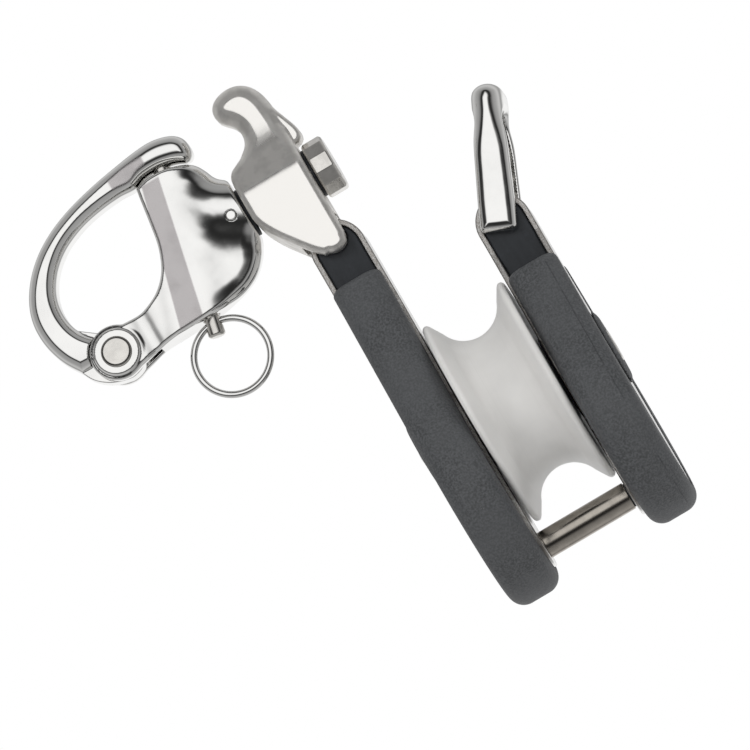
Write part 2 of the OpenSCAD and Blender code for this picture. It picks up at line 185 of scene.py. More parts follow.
class Outline:
    """A closed outline in one plane, which tells how far any point is outside it."""

    def __init__(self, points, margin=5.0, cell=0.2):
        corners = np.array(points, float)
        self.cell = cell
        self.low = corners.min(0) - margin
        self.count = np.ceil((corners.max(0) + margin - self.low) / cell).astype(int) + 1
        u, v = np.meshgrid(*(self.low[k] + cell * np.arange(self.count[k]) for k in (0, 1)), indexing="ij")
        nearest, inside = np.full(u.shape, 1e9), np.zeros(u.shape, bool)
        for a, b in zip(corners, np.roll(corners, -1, 0)):
            edge = b - a
            if edge @ edge < 1e-12:
                continue
            t = np.clip(((u - a[0]) * edge[0] + (v - a[1]) * edge[1]) / (edge @ edge), 0, 1)
            nearest = np.minimum(nearest, (u - a[0] - t * edge[0]) ** 2 + (v - a[1] - t * edge[1]) ** 2)
            if edge[1]:
                inside ^= ((a[1] > v) != (b[1] > v)) & (u < a[0] + (v - a[1]) * edge[0] / edge[1])
        self.distance = np.where(inside, -1.0, 1.0) * np.sqrt(nearest)

    def __call__(self, u, v):
        f, g = (np.clip((w - self.low[k]) / self.cell, 0, self.count[k] - 1.001) for k, w in ((0, u), (1, v)))
        i, j = f.astype(int), g.astype(int)
        f, g, d = f - i, g - j, self.distance
        return (d[i, j] * (1 - f) + d[i + 1, j] * f) * (1 - g) + (d[i, j + 1] * (1 - f) + d[i + 1, j + 1] * f) * g


def ease(value, start, end):
    """0 before start, 1 after end and smooth between them."""
    t = np.clip((value - start) / (end - start), 0, 1)
    return t * t * (3 - 2 * t)


def both(a, b, radius):
    """What two shapes share, with the edge between them rounded."""
    u, v = np.maximum(a + radius, 0), np.maximum(b + radius, 0)
    return np.sqrt(u * u + v * v) + np.minimum(np.maximum(a, b) + radius, 0) - radius


def joined(a, b, radius):
    """Two shapes together, with a fillet between them."""
    return -both(-a, -b, radius)


def cut(a, b, radius=0.2):
    """The first shape without the second."""
    return both(a, -b, radius)


def bevelled(a, b, bevel, radius):
    """What two shapes share, with the edge between them cut back flat."""
    return both(both(a, b, radius), (a + b + bevel) * math.sqrt(0.5), radius)


def edged(outline, wide, half, band, drop, radius):
    """A plate whose flat faces end in a crisp line, in a band that falls away to the rounded rim."""
    past = np.maximum(outline + band, 0)
    return both(outline, wide - half + drop * np.where(past < 0.8, past * past / 1.6, past - 0.4), radius)


def rod(u, v, radius):
    """A long round rod that stands square to the two directions given."""
    return np.sqrt(u * u + v * v) - radius


def slope(field, points, reach):
    """The direction in which the distance grows at each point."""
    steps = []
    for k in range(3):
        shift = np.zeros(3)
        shift[k] = reach
        steps.append((field(*(points + shift).T) - field(*(points - shift).T)) / (2 * reach))
    return np.stack(steps, 1)


def skin(name, field, low, high, step):
    """A smooth mesh on the surface where the distance field is zero, between two corners in millimetres."""
    low, high = np.array(low) - 2.5 * step, np.array(high) + 2.5 * step
    x, y, z = (low[k] + step * np.arange(int((high[k] - low[k]) / step) + 2) for k in range(3))
    values = field(x[:, None, None], y[None, :, None], z[None, None, :])
    values = np.ascontiguousarray(np.broadcast_to(values, (len(x), len(y), len(z))), np.float32)
    grid = openvdb.FloatGrid(float(values.max()))
    grid.copyFromArray(values)
    points, quads = grid.convertToQuads(isovalue=0.0)
    points = low + points.astype(float) * step
    for _ in range(3):
        way = slope(field, points, 0.5 * step)
        move = field(*points.T) / np.maximum((way ** 2).sum(1), 0.3)
        points -= np.clip(move, -step, step)[:, None] * way
    normals = slope(field, points, 0.6 * step)
    normals /= np.maximum(np.linalg.norm(normals, axis=1), 1e-6)[:, None]
    mesh = bpy.data.meshes.new(name)
    mesh.from_pydata((points * MM).tolist(), [], quads.tolist())
    mesh.shade_smooth()
    mesh.normals_split_custom_set_from_vertices(normals.tolist())
    return put(name, mesh)


def put(name, mesh):
    """A new object in the scene for a mesh."""
    made = bpy.data.objects.new(name, mesh)
    bpy.context.scene.collection.objects.link(made)
    return made


def finish_piece(made, node, body, finish):
    """Rides a finished piece on its body in place of its frame node, with its material."""
    made.data.materials.clear()
    made.data.materials.append(material(finish))
    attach(made, body)
    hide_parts(node)
    return made


def cast(name, node, body, finish, field, step):
    """A piece with a smooth skin over its distance field, in place of its frame node."""
    low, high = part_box(node)
    return finish_piece(skin(name, field, low / MM, high / MM, step), node, body, finish)


def lathed(name, node, body, slot, finish, profile, **shape):
    """A turned piece in place of its frame node."""
    return finish_piece(turned(name, profile, **shape), node, body, finish)


def wired(name, node, body, finish, tree, values, where):
    """A piece of bent wire in place of its frame node, grown at the origin and then moved."""
    mesh = grown(name, TREES[tree], {**values, "Material": material(finish)})
    mesh.transform(where)
    return finish_piece(put(name, mesh), node, body, finish)


# ---- geometry node trees


def add_node(tree, kind, settings=None, values=None):
    """Adds a node: its settings first, then the values or links of its sockets."""
    node = tree.nodes.new(kind)
    for key, value in (settings or {}).items():
        if key == "stops":
            set_stops(node.color_ramp, value)
        else:
            setattr(node, key, value)
    for key, value in (values or {}).items():
        value = getattr(value, "socket", value)
        if isinstance(value, bpy.types.NodeSocket):
            tree.links.new(value, node.inputs[key])
        else:
            node.inputs[key].default_value = value
    return node.outputs


def set_stops(ramp, stops):
    """Fills a colour ramp with (place, shade of grey) stops."""
    ramp.interpolation = "B_SPLINE"
    while len(ramp.elements) > 1:
        ramp.elements.remove(ramp.elements[-1])
    for k, (where, shade) in enumerate(stops):
        element = ramp.elements[0] if k == 0 else ramp.elements.new(where)
        element.position = where
        element.color = (shade, shade, shade, 1.0)


class Tree:
    """A geometry node tree built step by step."""

    def __init__(self, name, inputs):
        self.tree = bpy.data.node_groups.new(name, "GeometryNodeTree")
        self.tree.interface.new_socket("Geometry", in_out="INPUT", socket_type="NodeSocketGeometry")
        self.names = {}
        for label, kind in inputs.items():
            self.names[label] = self.tree.interface.new_socket(label, in_out="INPUT", socket_type=kind).identifier
        self.tree.interface.new_socket("Geometry", in_out="OUTPUT", socket_type="NodeSocketGeometry")
        self.inputs = self.tree.nodes.new("NodeGroupInput").outputs

    def node(self, *what):
        return add_node(self.tree, *what)

    def maths(self, operation, a, b=0.0):
        return self.node("ShaderNodeMath", {"operation": operation}, {0: a, 1: b})[0]

    def close(self, geometry):
        """Ends the tree in real geometry with its material."""
        real = self.node("GeometryNodeRealizeInstances", None, {"Geometry": geometry})[0]
        painted = self.node("GeometryNodeSetMaterial", None, {"Geometry": real, "Material": self.inputs["Material"]})[0]
        out = self.tree.nodes.new("NodeGroupOutput")
        self.tree.links.new(painted, out.inputs[0])
        return self


def turned_tree():
    """Turns the points of a profile, x along the axis and y out from it, round the x axis."""
    tree = Tree("Turned piece", {
        "Points": "NodeSocketInt", "Segments": "NodeSocketInt", "Material": "NodeSocketMaterial"})
    columns = tree.maths("ADD", tree.inputs["Segments"], 1.0)
    sheet = tree.node("GeometryNodeMeshGrid", None, {"Vertices X": columns, "Vertices Y": tree.inputs["Points"]})[0]
    index = tree.node("GeometryNodeInputIndex")[0]
    row = tree.maths("MODULO", index, tree.inputs["Points"])
    column = tree.maths("FLOOR", tree.maths("DIVIDE", index, tree.inputs["Points"]))
    angle = tree.maths("DIVIDE", tree.maths("MULTIPLY", column, math.tau), tree.inputs["Segments"])
    where = tree.node("GeometryNodeInputPosition")[0]
    found = tree.node("GeometryNodeSampleIndex", {"data_type": "FLOAT_VECTOR"},
                      {"Geometry": tree.inputs["Geometry"], "Value": where, "Index": row})[0]
    split = tree.node("ShaderNodeSeparateXYZ", None, {0: found})
    y = tree.maths("MULTIPLY", split[1], tree.maths("COSINE", angle))
    z = tree.maths("MULTIPLY", split[1], tree.maths("SINE", angle))
    spot = tree.node("ShaderNodeCombineXYZ", None, {0: split[0], 1: y, 2: z})[0]
    moved = tree.node("GeometryNodeSetPosition", None, {"Geometry": sheet, "Position": spot})[0]
    whole = tree.node("GeometryNodeMergeByDistance", None, {"Geometry": moved, "Distance": 1e-6})[0]
    return tree.close(whole)


def wire_tree(name, coil):
    """Sweeps round wire along a ring, or along a coil that climbs from its foot."""
    inputs = {"Radius": "NodeSocketFloat", "Wire": "NodeSocketFloat"}
    if coil:
        inputs.update({"Turns": "NodeSocketFloat", "Height": "NodeSocketFloat"})
    tree = Tree(name, {**inputs, "Material": "NodeSocketMaterial"})
    radius = tree.inputs["Radius"]
    if coil:
        path = tree.node("GeometryNodeCurveSpiral", None, {
            "Resolution": 32, "Rotations": tree.inputs["Turns"], "Start Radius": radius, "End Radius": radius,
            "Height": tree.inputs["Height"]})[0]
    else:
        path = tree.node("GeometryNodeCurvePrimitiveCircle", {"mode": "RADIUS"}, {
            "Resolution": 128, "Radius": radius})[0]
    section = tree.node("GeometryNodeCurvePrimitiveCircle", {"mode": "RADIUS"},
                        {"Resolution": 12 if coil else 24, "Radius": tree.inputs["Wire"]})[0]
    swept = tree.node("GeometryNodeCurveToMesh", None, {"Curve": path, "Profile Curve": section, "Fill Caps": coil})[0]
    return tree.close(tree.node("GeometryNodeSetShadeSmooth", None, {"Geometry": swept})[0])


def grown(name, tree, values, start=None):
    """Runs a geometry node tree on a starting mesh and keeps what it makes as a plain mesh."""
    seed = put(name + "_seed", start or bpy.data.meshes.new(name + "_seed"))
    modifier = seed.modifiers.new("Shape", "NODES")
    modifier.node_group = tree.tree
    for label, value in values.items():
        modifier[tree.names[label]] = value
    bpy.context.view_layer.update()
    mesh = bpy.data.meshes.new_from_object(seed.evaluated_get(bpy.context.evaluated_depsgraph_get()))
    mesh.name = name
    seed.modifiers.clear()
    bpy.data.objects.remove(seed)
    if not mesh.polygons:
        raise RuntimeError(f"{name} came out empty")
    return mesh


def softened(profile, radius, steps=4, closed=False):
    """A profile with every corner rounded, or rounded as far as its short sides allow."""
    line = []
    last = len(profile) - 1
    for k, here in enumerate(profile):
        if not closed and k in (0, last):
            line.append(here)
            continue
        here, before, after = (Vector(p) for p in (here, profile[k - 1], profile[(k + 1) % len(profile)]))
        a, b = before - here, after - here
        reach = min(radius, a.length * 0.45, b.length * 0.45)
        a, b = a.normalized() * reach, b.normalized() * reach
        for step in range(steps + 1):
            t = step / steps
            line.append(tuple(here + a * (1 - t) ** 2 + b * t ** 2))
    return line


def turned(name, profile, at=(0.0, 0.0, 0.0), along="X", soft=0.12, bore=False, more=()):
    """A turned piece from (along, out) points, or several in one mesh. A bored one has a closed profile."""
    whole = bmesh.new()
    for shape in (profile, *more):
        line = softened(shape, soft, closed=bore)
        if bore:
            line = [*line, line[0]]
        start = bpy.data.meshes.new(name + "_profile")
        start.from_pydata([(a * MM, r * MM, 0.0) for a, r in line], [], [])
        segments = bpy.context.scene.block_sizes.around
        mesh = grown(name, TREES["turned"], {"Points": len(line), "Segments": segments}, start)
        whole.from_mesh(mesh)
    bmesh.ops.remove_doubles(whole, verts=whole.verts, dist=1e-6)
    bmesh.ops.dissolve_degenerate(whole, edges=whole.edges, dist=1e-7)
    bmesh.ops.recalc_face_normals(whole, faces=whole.faces)
    turn = Matrix.Identity(4) if along == "X" else Matrix.Rotation(math.radians(90), 4, "Z")
    bmesh.ops.transform(whole, matrix=Matrix.Translation(Vector(at) * MM) @ turn, verts=whole.verts)
    mesh = bpy.data.meshes.new(name)
    whole.to_mesh(mesh)
    whole.free()
    mesh.shade_smooth()
    mesh.set_sharp_from_angle(angle=math.radians(28))
    return put(name, mesh)


def pin_profile(low, high, radius, dome=0.0, bevel=0.25):
    """Profile of a plain pin with bevelled or domed ends."""
    return [(low - dome, 0.0), (low - dome * 0.75, radius * 0.5), (low, radius - bevel), (low + bevel, radius),
            (high - bevel, radius), (high, radius - bevel), (high + dome * 0.75, radius * 0.5), (high + dome, 0.0)]


def ring_profile(low, high, inner, outer):
    """Profile of a plain ring."""
    return [(low, inner), (low, outer), (high, outer), (high, inner)]


TREES = {}


# ---- materials


def sums(operation, swapped=False):
    """A method that does one sum on a number, or the same sum with its two sides swapped."""

    def method(self, *other):
        return self._maths(operation, *((*other, self) if swapped else (self, *other)))

    return method


class Number:
    """A number in a material, so that sums are written as expressions."""

    def __init__(self, paint, socket):
        self.paint, self.socket = paint, socket

    def _maths(self, operation, *values):
        return self.paint.value("ShaderNodeMath", {"operation": operation}, dict(enumerate(values)))

    __add__ = __radd__ = sums("ADD")
    __mul__ = __rmul__ = sums("MULTIPLY")
    __sub__, __rsub__ = sums("SUBTRACT"), sums("SUBTRACT", swapped=True)
    __truediv__, __rtruediv__ = sums("DIVIDE"), sums("DIVIDE", swapped=True)
    __pow__ = sums("POWER")
    __abs__ = sums("ABSOLUTE")

    def rise(self, start, end):
        """0 before start, 1 after end and smooth between them."""
        values = {"Value": self, "From Min": start, "From Max": end}
        return self.paint.value("ShaderNodeMapRange", {"interpolation_type": "SMOOTHSTEP"}, values)

    def between(self, low, high, soft):
        """1 between two values, with soft ends."""
        return self.rise(low - soft, low + soft) * (1.0 - self.rise(high - soft, high + soft))


class Paint:
    """The node tree of a material or of the world."""

    def __init__(self, owner):
        self.owner = owner
        owner.use_nodes = True
        self.tree = owner.node_tree
        self.tree.nodes.clear()

    def node(self, *what):
        return add_node(self.tree, *what)

    def value(self, *what):
        """The first output of a new node, as a number."""
        return Number(self, self.node(*what)[0])

    def split(self, vector):
        """The three numbers of a vector."""
        parts = self.node("ShaderNodeSeparateXYZ", None, {0: vector})
        return [Number(self, parts[k]) for k in range(3)]

    def facing(self):
        """The piece's own normal, as three numbers."""
        return self.split(self.node("ShaderNodeTexCoord")["Normal"])

    def noise(self, scale, detail=2.0, stretch=None):
        """Smooth noise about 0.5, with its scale in waves a millimetre."""
        place = self.place
        if stretch:
            place = self.node("ShaderNodeMapping", None, {"Vector": place, "Scale": stretch})[0]
        return self.value("ShaderNodeTexNoise", None, {"Vector": place, "Scale": scale, "Detail": detail})

    def cells(self, scale):
        """Distance to the nearest of scattered points, for pits and specks."""
        values = {"Vector": self.place, "Scale": scale}
        return Number(self, self.node("ShaderNodeTexVoronoi", None, values)["Distance"])

    def blend(self, mask, a, b):
        """Colour a where the mask is 0 and b where it is 1."""
        shades = [(*shade, 1.0) if isinstance(shade, (tuple, list)) else shade for shade in (a, b)]
        values = {0: mask, 6: shades[0], 7: shades[1]}
        return self.node("ShaderNodeMix", {"data_type": "RGBA"}, values)[2]

    def finish(self, base, roughness, metallic=0.0, height=None, depth=0.01, coat=0.0, sheen=0.5):
        """The surface: its colour, roughness and metal, and a relief whose depth is in millimetres."""
        values = {"Base Color": base, "Roughness": roughness, "Metallic": metallic, "Coat Weight": coat,
                  "Specular IOR Level": sheen}
        if height is not None:
            bump = self.node("ShaderNodeBump", None, {"Height": height, "Distance": depth * MM, "Strength": 1.0})[0]
            values["Normal"] = bump
        surface = self.node("ShaderNodeBsdfPrincipled", None, values)[0]
        self.node("ShaderNodeOutputMaterial", None, {"Surface": surface})
        return self.owner


# Shades of the ground faces, of sheared edges, of the painted shade along their rounded corners and of dust.
GROUND, TORN, EDGE_SHADE, DUST = (0.57, 0.545, 0.545), (0.50, 0.46, 0.42), (0.16, 0.14, 0.12), (0.26, 0.26, 0.26)


def palette(name):
    return tuple(getattr(bpy.context.scene.block_colours, name))


def shaded(name, factor):
    """A lighter or darker shade of one of the colours."""
    return tuple(min(1.0, c * factor) for c in palette(name))


def new_paint(name):
    """An empty material whose places are object coordinates in millimetres."""
    paint = Paint(bpy.data.materials.new(name))
    raw = paint.node("ShaderNodeTexCoord")["Object"]
    paint.place = paint.node("ShaderNodeVectorMath", {"operation": "SCALE"}, {0: raw, "Scale": 1 / MM})[0]
    return paint


def polished_steel(name, ground=None):
    """Mirror polished casting: faint waves from the polishing wheel, fine pits, and a ground satin face where asked."""
    paint = new_paint(name)
    x, y, z = paint.split(paint.place)
    smudge = paint.noise(0.16, 3.0)
    grain = paint.noise(5.0, 2.0)
    waves = paint.noise(0.22, 1.0)
    peel = paint.noise(1.1, 2.0)
    pits = 1.0 - paint.cells(1.3).rise(0.02, 0.16)
    satin = ground(x, y, z) if ground else 0.0 * grain
    rough = 0.045 + 0.07 * smudge.rise(0.45, 0.75) + 0.05 * pits + satin * (0.26 + 0.12 * grain)
    tone = paint.blend(smudge.rise(0.35, 0.75), palette("steel"), shaded("steel", 0.95))
    tone = paint.blend(satin, tone, GROUND)
    height = waves * 6.0 + peel * 0.2 + grain * 0.06 - pits * 0.35 + satin * grain * 0.6
    return paint.finish(tone, rough, 1.0, height, 0.012)


def head_steel():
    """Satin casting whose flat faces and horn are buffed bright, and whose other faces carry a lighter tone painted in
    for light.
    """
    paint = new_paint("head_steel")
    facing = paint.facing()
    grain = paint.noise(4.5, 3.0)
    smudge = paint.noise(0.3, 3.0)
    flat = abs(facing[1]).rise(0.93, 0.985)
    pits = 1.0 - paint.cells(1.6).rise(0.02, 0.14)
    rough = 0.45 - 0.31 * flat + 0.10 * (grain - 0.5) + 0.10 * smudge
    bright = paint.blend(smudge, shaded("satin", 1.18), shaded("satin", 1.25))
    # Partly painted light: the satin faces off the flats are real satin finish, but their tone is lifted above the
    # satin colour to stand in for light on the sloping faces.
    satin_with_painted_light = paint.blend(smudge.rise(0.4, 0.65), shaded("satin", 1.40), shaded("satin", 1.20))
    height = grain * 0.5 + paint.noise(0.5, 1.0) * 2.5 - pits * 0.5
    return paint.finish(paint.blend(flat, satin_with_painted_light, bright), rough, 1.0, height, 0.010)


def strap_steel():
    """Rolled strip: smooth bright faces and grainy sheared edges."""
    paint = new_paint("strap_steel")
    facing = paint.facing()
    sheared = (1.0 - abs(facing[0]).rise(0.25, 0.7)) * abs(facing[1]).rise(0.35, 0.8)
    grain = paint.noise(6.0, 3.0)
    rolled = paint.noise(2.0, 3.0, (1.0, 6.0, 0.25))
    torn = paint.noise(2.2, 4.0, (3.0, 1.0, 1.0))
    rough = 0.16 + 0.10 * rolled + sheared * (0.22 + 0.2 * grain)
    tone = paint.blend(sheared * torn.rise(0.3, 0.7), palette("steel"), TORN)
    # Painted shade: a dark line where the rounded corners of the sheared edges turn away from the flat faces, picked by
    # the facing angle.
    line = abs(facing[1]).between(0.45, 0.86, 0.1) * (1.0 - 0.5 * torn)
    tone = paint.blend(line, tone, EDGE_SHADE)
    height = rolled * 0.3 + sheared * (torn * 3.0 + grain * 1.5)
    return paint.finish(tone, rough, 1.0, height, 0.014)


def turned_steel(name, tone="turned", across=(1.0, 1.0, 1.0)):
    """Machined steel: fine tool lines and slight stains."""
    paint = new_paint(name)
    lines = paint.noise(1.0, 3.0, tuple(14.0 if k > 0.5 else 0.35 for k in across))
    stain = paint.noise(0.5, 3.0)
    rough = 0.10 + 0.10 * lines + 0.05 * stain
    tone = paint.blend(stain.rise(0.3, 0.75), palette(tone), shaded(tone, 0.85))
    return paint.finish(tone, rough, 1.0, lines * 0.8 + paint.noise(5.0) * 0.3, 0.006)


def black_plastic():
    """Glass-filled nylon: satin bluish black with a faint flow grain and pale rubs."""
    paint = new_paint("black_plastic")
    grain = paint.noise(3.2, 4.0)
    flow = paint.noise(0.8, 3.0, (1.0, 1.0, 0.25))
    rubs = paint.noise(0.45, 4.0).rise(0.58, 0.8)
    tone = paint.blend(flow, palette("black"), shaded("black", 1.7))
    tone = paint.blend(rubs * 0.5, tone, shaded("black", 2.6))
    rough = 0.38 + 0.16 * grain + 0.10 * rubs
    return paint.finish(tone, rough, 0.0, grain * 0.8 + flow * 0.6, 0.02, 0.0, 0.28)


def soft_cover(name, line=None):
    """Moulded soft cover: fine sparked grain, light dust specks and a thin parting line."""
    paint = new_paint(name)
    x, y, _ = paint.split(paint.place)
    grain = paint.noise(1.9, 6.0)
    fine = paint.noise(5.0, 3.0)
    cloud = paint.noise(0.07, 3.0)
    specks = (1.0 - paint.cells(1.1).rise(0.03, 0.13)) * paint.noise(0.9).rise(0.45, 0.62)
    tone = paint.blend(grain.rise(0.3, 0.72), shaded("cover", 0.62), shaded("cover", 1.30))
    tone = paint.blend(cloud.rise(0.35, 0.7) * 0.5, tone, shaded("cover", 1.2))
    tone = paint.blend(specks * 0.45, tone, DUST)
    height = grain * 1.0 + fine * 0.5
    if line is not None:
        seam = abs(x - line - 0.15 * (paint.noise(0.15) - 0.5))
        broken = paint.noise(0.09, 1.0).rise(0.40, 0.50)
        seam = (1.0 - seam.rise(0.05, 0.22)) * broken * (1.0 - y.rise(-4.0, 0.0))
        tone = paint.blend(seam * 0.55, tone, shaded("cover", 0.45))
        height = height + seam * 1.5
    rough = 0.52 + 0.16 * fine
    return paint.finish(tone, rough, 0.0, height, 0.06, 0.0, 0.42)


def pale_plastic():
    """Acetal: milky off-white with faint turning rings and a soft gloss."""
    paint = new_paint("pale_plastic")
    _, y, z = paint.split(paint.place)
    radius = (y * y + z * z) ** 0.5
    rings = paint.value("ShaderNodeTexNoise", {"noise_dimensions": "1D"}, {"W": radius, "Scale": 4.0, "Detail": 3.0})
    cloud = paint.noise(0.09, 3.0)
    tone = paint.blend(cloud.rise(0.3, 0.7), palette("pale"), shaded("pale", 0.93))
    tone = paint.blend(rings.rise(0.5, 0.8) * 0.25, tone, shaded("pale", 0.86))
    rough = 0.30 + 0.10 * cloud + 0.08 * rings
    return paint.finish(tone, rough, 0.0, rings * 0.8 + paint.noise(2.0) * 0.2, 0.01, 0.1)


# ---- cheeks

COVER_X, RIM_X, COVER_R, COVER_MID = ends("right_cover", 0)[1], 13.0, 29.5, -15.0
SPACER_Z = sum(ends("spacer_tube", 2)) / 2
GROOVE_DEEP = 9.0
AXLE_R, BUSH_R, WASHER_R, RIVET_R = 4.0, 7.0, 11.0, 2.5
PIVOT_R, PIVOT_HOLE_R, SLEEVE_R = 1.9, 1.95, 3.4


def loop_outline(pivot):
    """Outside of a strap loop from the front: two flanks and a tighter crown."""
    half, flank, crown = size("loop_half"), 8.0, 4.93
    dx = flank - half
    dz = math.sqrt((flank - crown) ** 2 - dx ** 2)
    turn = math.degrees(math.atan2(dz, dx))
    return Outline([(-half, -60), (half, -60), *arc(-dx, pivot - dz, flank, 0, turn, 24),
                    *arc(0, pivot, crown, turn + 1, 179 - turn, 16), *arc(dx, pivot - dz, flank, 180 - turn, 180, 24)])


def leg_outline():
    """A strap leg from the side."""
    n = size("neck") / 2
    return Outline([(n, 80), (n, 34), *arc(0, 0, 15, 32, -12), *arc(0, -29, 11, -10, -170, 32),
                    *arc(0, 0, 15, 192, 148), (-n, 34), (-n, 80)])


def core_outline(pivot, top):
    """A moulded core from the side."""
    n = size("neck") / 2 - 0.2
    return Outline([(n, pivot + 1.5), (n, top - 3), *arc(0, COVER_MID, COVER_R - 5, 34, -214, 64),
                    (-n, top - 3), (-n, pivot + 1.5)])


def cover_outline(top, shoulder):
    """A cover from the side: a large round below, drawn in to a smaller one at the top."""
    away = top - COVER_MID
    lean = math.degrees(math.asin((COVER_R - shoulder) / away))
    return Outline([*arc(0, COVER_MID, COVER_R, 180 - lean, 360 + lean, 96),
                    *arc(0, top, shoulder, lean, 180 - lean, 32)])


def drilled(shape, y, z):
    """A piece of a cheek with its holes for the axle and the spacer rivet."""
    return cut(cut(shape, rod(y, z, AXLE_R), 0.1), rod(y, z - SPACER_Z, RIVET_R), 0.1)


def build_cheek(side, pivot, top, shoulder, seam):
    """One cheek: strap, core and cover. Side is -1 for the left one and 1 for the right one."""
    name = "left" if side < 0 else "right"
    half, strap = size("loop_half"), size("strap")
    neck, rim = size("neck") / 2, size("cover_rim")
    loop, leg = loop_outline(pivot), leg_outline()
    moulding, shell = core_outline(pivot, top), cover_outline(top, shoulder)
    outside = COVER_X - 0.5
    middle, thick = (outside + RIM_X) / 2 - CHEEK_X, (outside - RIM_X) / 2

    def strap_shape(x, y, z):
        x = side * x - CHEEK_X
        sheet = np.abs(loop(x, z) + strap / 2) - strap / 2
        shape = both(sheet, leg(y, z), 0.4)
        return drilled(shape, y, z)

    def core_shape(x, y, z):
        x = side * x - CHEEK_X
        shape = both(loop(x, z) + strap + 0.03, moulding(y, z), 0.45)
        shape = cut(shape, rod(x, z - pivot, 3.45), 0.2)
        return drilled(shape, y, z)

    def cover_shape(x, y, z):
        x = side * x - CHEEK_X
        shape = both(shell(y, z), np.abs(x - middle) - thick, rim)
        shape = joined(shape, both(rod(y, z, 9.0), np.abs(x - middle) - thick - 0.5, 1.5), 2.5)
        shape = both(shape, z - top, 1.6)
        shape = cut(shape, np.maximum(np.maximum(np.abs(y) - neck - 0.05, np.abs(x) - half - 0.05), top - 30 - z), 0.25)
        shape = cut(shape, np.maximum(moulding(y, z), x - half + strap), 0.2)
        shape = cut(shape, np.maximum(leg(y, z), np.abs(np.abs(x) - half + strap / 2) - strap / 2 - 0.05), 0.2)
        return cut(shape, np.maximum(rod(y, z, 4.75), -x), 0.3)

    fine, coarse = size("casting_step"), size("cover_step")
    for part, field, slot, finish, step in (("strap", strap_shape, "brushed_steel", "strap_steel", fine),
                                            ("core", core_shape, "black_plastic", "black_plastic", coarse),
                                            ("cover", cover_shape, "soft_cover", seam, coarse)):
        cast(f"{part}_{name}", f"{name}_{part}", "block", finish, field, step)


MATERIALS = {}


def material(name):
    """A finish by name, made the first time that a piece asks for it."""
    if name not in MATERIALS:
        MATERIALS[name] = {
            "strap_steel": strap_steel,
            "head_steel": head_steel,
            "black_plastic": black_plastic,
            "pale_plastic": pale_plastic,
            "plain_cover": lambda: soft_cover("plain_cover"),
            "seamed_cover": lambda: soft_cover("seamed_cover", 23.5),
            "polished_gate": lambda: polished_steel("polished_gate", gate_ground),
            "polished_body": lambda: polished_steel("polished_body", spine_ground),
            "polished_steel": lambda: polished_steel("polished_steel"),
            "turned_steel": lambda: turned_steel("turned_steel", "turned", (1.0, 0.0, 0.0)),
            "rivet_steel": lambda: turned_steel("rivet_steel", "bright"),
            "knob_steel": lambda: turned_steel("knob_steel", "bright", (1.0, 0.0, 0.0)),
        }[name]()
    return MATERIALS[name]


class BLOCK_OT_cheeks(bpy.types.Operator):
    """Bends the straps and moulds the cores and soft covers"""

    bl_idname = "block.cheeks"
    bl_label = "Cheeks"

    def execute(self, context):
        build_cheek(-1, HEAD_Z, 45.8, 10.2, "plain_cover")
        build_cheek(1, BAIL_Z, 26.1, 13.5, "seamed_cover")
        return {"FINISHED"}


# ---- sheave, axle and spacer


class BLOCK_OT_sheave(bpy.types.Operator):
    """Turns the sheave, its bearing, the axle and the spacer"""

    bl_idname = "block.sheave"
    bl_label = "Sheave and axle"

    def execute(self, context):
        w, r = ends("sheave", 0)[1], ends("sheave", 2)[1]
        groove = size("groove")
        hollow = [(-v, u) for u, v in arc(r - GROOVE_DEEP + groove, 0, groove, 112, 248, 28)]
        rim = [(w, BUSH_R), (w, r - 0.6), (w - 0.6, r), (w - 1.4, r), (w - 1.9, r - 0.5)]
        profile = [*((-a, b) for a, b in rim), *hollow, *rim[::-1]]
        lathed("sheave_wheel", "sheave", "sheave_body", "pale_plastic", "pale_plastic", profile, soft=0.35, bore=True)
        lathed("plain_bearing", "sheave_bush", "sheave_body", "black_plastic", "black_plastic",
               ring_profile(-w, w, AXLE_R + 0.05, BUSH_R), bore=True)
        low, high = w + 0.1, ends("thrust_washers", 0)[1]
        lathed("side_washers", "thrust_washers", "block", "black_plastic", "black_plastic",
               ring_profile(low, high, AXLE_R, WASHER_R), bore=True, more=[ring_profile(-high, -low, AXLE_R, WASHER_R)])
        low, seat = ends("axle_bolt", 0)
        dome = [(low, 0.0), (low + 0.2, 1.8), (low + 0.75, 3.3), (low + 1.4, 4.3), (-seat, 4.6)]
        shank = [(-seat, AXLE_R), (seat, AXLE_R), (seat, 2.5), (seat - 9, 2.5), (seat - 9, 0)]
        lathed("axle_head_bolt", "axle_bolt", "block", "polished_steel", "polished_steel", [*dome, *shank])
        top = ends("axle_nut", 0)[1]
        disc = [(seat - 8.8, 0), (seat - 8.8, 2.5), (seat, 2.5), (seat, 4.5), (top - 0.5, 4.5), (top, 4.0), (top, 1.6),
                (top - 0.15, 1.3), (top - 0.15, 0)]
        lathed("axle_disc_nut", "axle_nut", "block", "turned_steel", "rivet_steel", disc)
        at, r = (0, 0, SPACER_Z), (ends("spacer_tube", 2)[1] - SPACER_Z)
        lathed("turned_spacer", "spacer_tube", "block", "turned_steel", "turned_steel",
               ring_profile(*ends("spacer_tube", 0), RIVET_R, r), at=at, soft=0.3, bore=True)
        lathed("spacer_end_ring", "spacer_ring", "block", "black_plastic", "black_plastic",
               ring_profile(*ends("spacer_ring", 0), RIVET_R, r - 0.4), at=at, bore=True)
        lathed("spacer_cross_rivet", "spacer_rivet", "block", "turned_steel", "rivet_steel",
               pin_profile(*ends("spacer_rivet", 0), RIVET_R), at=at)
        return {"FINISHED"}


# ---- head

FACE_R, FACE_L = -15.75, -33.9
HEAD_HALF, HORN_HALF, FORK_HALF = ends("head", 1)[1], 5.0, 6.5
SEAT = (-31.15, 92.9, 5.2)


